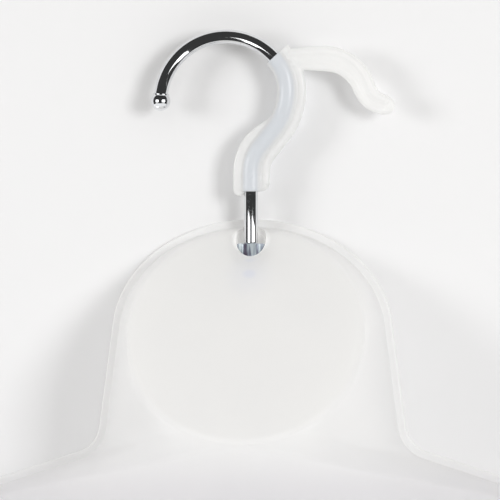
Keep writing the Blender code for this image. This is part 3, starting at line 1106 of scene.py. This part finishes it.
def hex_nut(name, node, material, chamfer_bottom=True):
    """A hexagon with its corners turned off, drilled and countersunk."""
    low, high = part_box(node)
    bottom, top = low[2], high[2]
    corner = NUT_FLATS / 2 / cos(pi / NUT_SIDES)
    edge = NUT_FLATS / 2 * NUT_CHAMFER
    drop = (corner - edge) * tan(radians(30))
    rim = corner + NUT_RIM
    profile = [(0.0, bottom)]
    if chamfer_bottom:
        profile += [(edge, bottom), (rim, bottom + drop)]
    else:
        profile += [(rim, bottom)]
    profile += [(rim, top - drop), (edge, top), (0.0, top)]
    place = Matrix.Translation((STEM_X, 0, (top + bottom) / 2))
    turn = Matrix.Rotation(pi / NUT_SIDES, 4, "Z")
    bm = bmesh.new()
    bmesh.ops.create_cone(bm, cap_ends=True, segments=NUT_SIDES, radius1=corner,
                          radius2=corner, depth=top - bottom, matrix=place @ turn)
    obj = new_object(name, bm, material, 20)
    combine(obj, turned(profile, STEM_X, ROUND_SIDES), "INTERSECT")
    hole = WIRE_R + NUT_BORE_GAP
    wide = hole + SINK + PAST
    bore = [(0, bottom - PAST), (wide, bottom - PAST), (hole, bottom + SINK)]
    bore += [(hole, top - SINK), (wide, top + PAST), (0, top + PAST)]
    combine(obj, turned(bore, STEM_X, BORE_SIDES), "DIFFERENCE")
    finish_mesh(obj.data, material, 20)
    bevel = obj.modifiers.new("bevel", "BEVEL")
    bevel.width = NUT_BEVEL
    bevel.segments = 2
    bevel.limit_method = "ANGLE"
    bevel.angle_limit = radians(25)
    applied(obj, material, 40)
    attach(obj, "hook")
    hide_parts(node)


def turned_ring(name, node, outer, inner, rounding, material, slot_name):
    """A turned ring with rounded outer edges."""
    low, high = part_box(node)
    bottom, top = low[2], high[2]
    side = outer - rounding
    profile = [(inner, bottom)]
    for angle in quarter(RING_STEPS):
        profile.append((side + rounding * sin(angle), bottom + rounding * (1 - cos(angle))))
    for angle in quarter(RING_STEPS):
        profile.append((side + rounding * cos(angle), top - rounding * (1 - sin(angle))))
    profile.append((inner, top))
    obj = new_object(name, turned(profile, STEM_X, ROUND_SIDES), material, 40)
    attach(obj, "hook")
    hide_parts(node)


# Stage

def stage_plane(name, corners, material):
    """One flat sheet of the stage."""
    bm = bmesh.new()
    bm.faces.new([bm.verts.new(corner) for corner in corners])
    obj = new_object(name, bm, material)
    return obj


def paper(name, low, high, one_sided):
    """Matt white paper, which can be open to sight and light from behind."""
    material, tree, shader = shader_of(name)
    cloud = noise(tree, 3.0, 2.0, 0.5)
    feed(tree, shader, {
        "Base Color": ramp(tree, cloud, [(0.35, low), (0.65, high)]),
        "Roughness": 0.9,
        "Specular IOR Level": 0.1,
    })
    if one_sided:
        behind = tree.nodes.new("ShaderNodeNewGeometry").outputs["Backfacing"]
        shadow = tree.nodes.new("ShaderNodeLightPath").outputs["Is Shadow Ray"]
        clear = tree.nodes.new("ShaderNodeBsdfTransparent")
        show_mix(tree, arithmetic(tree, "MAXIMUM", behind, shadow), shader, clear)
    return material


def build_stage():
    """Backdrop close behind the rim, and the floor in front of it."""
    side = STAGE_HALF_W
    wall_y = RIM_Y + WALL_GAP
    foot = [(-side, wall_y, FLOOR_Z), (side, wall_y, FLOOR_Z)]
    head = [(side, wall_y, BACKDROP_TOP), (-side, wall_y, BACKDROP_TOP)]
    front = [(-side, -FLOOR_FRONT, FLOOR_Z), (side, -FLOOR_FRONT, FLOOR_Z)]
    backdrop = paper("backdrop_paper", (0.82, 0.82, 0.825), (0.83, 0.83, 0.835), True)
    floor = paper("floor_paper", (0.80, 0.80, 0.80), (0.82, 0.82, 0.82), False)
    stage_plane("backdrop", foot + head, backdrop)
    ground = stage_plane("floor", [foot[0], front[0], front[1], foot[1]], floor)
    ground.visible_glossy = False


def direction(azimuth, elevation):
    """A unit vector towards an azimuth and an elevation."""
    a, e = radians(azimuth), radians(elevation)
    return Vector((sin(a) * cos(e), -cos(a) * cos(e), sin(e)))


def area_light(name, azimuth, elevation, distance, width, height, power):
    """A rectangle of light that faces the middle of the view."""
    data = bpy.data.lights.new(name, "AREA")
    data.shape = "RECTANGLE"
    data.size = width
    data.size_y = height
    data.energy = power
    obj = bpy.data.objects.new(name, data)
    away = direction(azimuth, elevation)
    obj.location = Vector(VIEW_CENTRE) + away * distance
    obj.rotation_mode = "QUATERNION"
    obj.rotation_quaternion = away.to_track_quat("Z", "Y")
    obj.visible_camera = False
    bpy.context.scene.collection.objects.link(obj)
    return obj


def light_only(light, objects, kept=True):
    """Let a light reach only some objects, or all but them."""
    group = bpy.data.collections.new(light.name + "_reach")
    light.light_linking.receiver_collection = group
    for obj in objects:
        group.objects.link(obj)
    for item in group.collection_objects:
        item.light_linking.link_state = "INCLUDE" if kept else "EXCLUDE"


def mirrored(name, azimuth, distance, width, height, level, receivers):
    """A white sheet that only some bright metal mirrors, and that throws no shadow."""
    power = level * pi * width * height
    obj = area_light(name, azimuth, 0, distance, width, height, power)
    obj.data.use_shadow = False
    obj.visible_diffuse = False
    light_only(obj, receivers)
    return obj


def card(name, azimuths, heights, distance, level, receivers, aim_x):
    """An upright sheet between two azimuths and two heights, facing the metal at aim_x."""
    middle = sum(azimuths) / 2
    width = 2 * distance * tan(radians(abs(azimuths[1] - azimuths[0])) / 2)
    height = abs(heights[1] - heights[0])
    obj = mirrored(name, middle, distance, width, height, level, receivers)
    obj.location.x += aim_x - VIEW_CENTRE[0]
    obj.location.z = sum(heights) / 2
    return obj


def stem_cards(name, azimuths, tops, rods):
    """A row of upright cards beside the form, whose beams meet only the stem."""
    step = (azimuths[1] - azimuths[0]) / STEM_CARD_COUNT
    for index in range(STEM_CARD_COUNT):
        start = azimuths[0] + index * step
        top = tops[0] + (tops[1] - tops[0]) * index / (STEM_CARD_COUNT - 1)
        obj = card(f"{name}_{index}", (start, start + step), (STEM_CARD_BOTTOM, top),
                   STEM_CARD_DISTANCE, STEM_CARD_LEVEL, rods, STEM_X)
        obj.data.spread = radians(STEM_CARD_BEAM)


def strip(name, start, end, width, rods):
    """A long sheet between two directions, each an azimuth and an elevation."""
    ends = [direction(*start), direction(*end)]
    away = (ends[0] + ends[1]).normalized()
    across = away.cross(ends[1] - ends[0]).normalized()
    along = away.cross(across)
    length = 2 * STRIP_DISTANCE * tan(ends[0].angle(ends[1]) / 2)
    breadth = 2 * STRIP_DISTANCE * tan(radians(width) / 2)
    obj = mirrored(name, 0, STRIP_DISTANCE, breadth, length, STRIP_LEVEL, rods)
    obj.rotation_quaternion = Matrix((across, along, away)).transposed().to_quaternion()
    obj.location = Vector(BEND_MIDDLE) + away * STRIP_DISTANCE


def build_lights(rod, ball):
    """Softboxes on the plastic, and the sheets that the bright metal mirrors."""
    for softbox in SOFTBOXES:
        light_only(area_light(*softbox), [rod, ball], kept=False)
    for name, azimuths, tops in STEM_CARDS:
        stem_cards(name, azimuths, tops, [rod])
    for name, start, end, width in STRIPS:
        strip(name, start, end, width, [rod])
    under = mirrored("under_ball_card", 0, 0, *UNDER_CARD_SIZE, UNDER_CARD_LEVEL, [ball])
    under.location = UNDER_CARD_PLACE
    under.rotation_quaternion = (0.0, 1.0, 0.0, 0.0)
    for name, azimuths in BALL_CARDS:
        card(name, azimuths, BALL_CARD_HEIGHTS, BALL_CARD_DISTANCE, BALL_CARD_LEVEL, [ball],
             -HOOK_R)


def build_room():
    """Soft light, stronger from above, and what gloss and the camera see instead."""
    world = bpy.data.worlds.new("studio")
    world.use_nodes = True
    bpy.context.scene.world = world
    world.cycles.sampling_method = "NONE"
    tree = world.node_tree
    place = tree.nodes.new("ShaderNodeTexCoord").outputs["Generated"]
    height = add_node(tree, "ShaderNodeSeparateXYZ", {"Vector": place}).outputs["Z"]
    fill = spread(tree, height, FILL_BELOW, FILL_ABOVE, -FILL_BLEND, FILL_BLEND)
    color = mixed(tree, "MULTIPLY", 1.0, fill, (*ROOM_TINT, 1.0))
    path = tree.nodes.new("ShaderNodeLightPath")
    for ray, level in (("Is Glossy Ray", ROOM_IN_GLOSS), ("Is Camera Ray", BEYOND_PAPER)):
        color = mixed(tree, "MIX", path.outputs[ray], color, (level, level, level, 1.0))
    feed(tree, tree.nodes["Background"], {"Color": color})


def build_camera():
    """A long lens, a little to the right of straight ahead."""
    data = bpy.data.cameras.new("camera")
    data.sensor_width = 36.0
    data.lens = data.sensor_width * CAMERA_DISTANCE / VIEW_WIDTH
    data.clip_end = 50
    camera = bpy.data.objects.new("camera", data)
    away = Vector((sin(CAMERA_AZIMUTH), -cos(CAMERA_AZIMUTH), 0.0))
    camera.location = Vector(VIEW_CENTRE) + away * CAMERA_DISTANCE
    camera.rotation_mode = "QUATERNION"
    camera.rotation_quaternion = away.to_track_quat("Z", "Y")
    bpy.context.scene.collection.objects.link(camera)
    bpy.context.scene.camera = camera


# The shell gets painted shade and a painted glow; the sleeve gets painted shade of the wire
shell_plastic = frosted(
    "frosted_shell_look", tint=(0.955, 0.960, 0.965), shade=(0.935, 0.942, 0.950),
    warm=(0.990, 0.980, 0.965), glow=0.40, roughness=0.42, grain=0.25,
    painted_shades=shell_painted_shades, lit=painted_glow)
sleeve_plastic = frosted(
    "frosted_sleeve_look", tint=(0.915, 0.920, 0.922), shade=(0.900, 0.905, 0.907),
    warm=(0.990, 0.980, 0.960), glow=0.35, roughness=0.25, grain=0.12,
    painted_shades=sleeve_painted_shade)
chrome = chrome_plate("chrome_look")
zinc = zinc_plate("zinc_look")
nylon = nylon_body("nylon_look")

build_shell(shell_plastic)
rod = build_wire(chrome)
ball = build_ball(chrome)
build_sleeve(sleeve_plastic)
hex_nut("neck_nut", "top_nut", zinc)
turned_ring("boss_washer", "thrust_washer", *WASHER, zinc, "zinc_plate")
hex_nut("locking_nut", "lock_nut", zinc, chamfer_bottom=False)
turned_ring("locking_collar", "lock_nut_collar", *NYLON, nylon, "nylon")
build_stage()
build_lights(rod, ball)
build_room()
build_camera()
scene = bpy.context.scene
scene.view_settings.view_transform = "Standard"
scene.cycles.max_bounces = 24
scene.cycles.diffuse_bounces = 16
scene.cycles.caustics_reflective = False
scene.cycles.caustics_refractive = False
scene.cycles.sample_clamp_indirect = 3.0
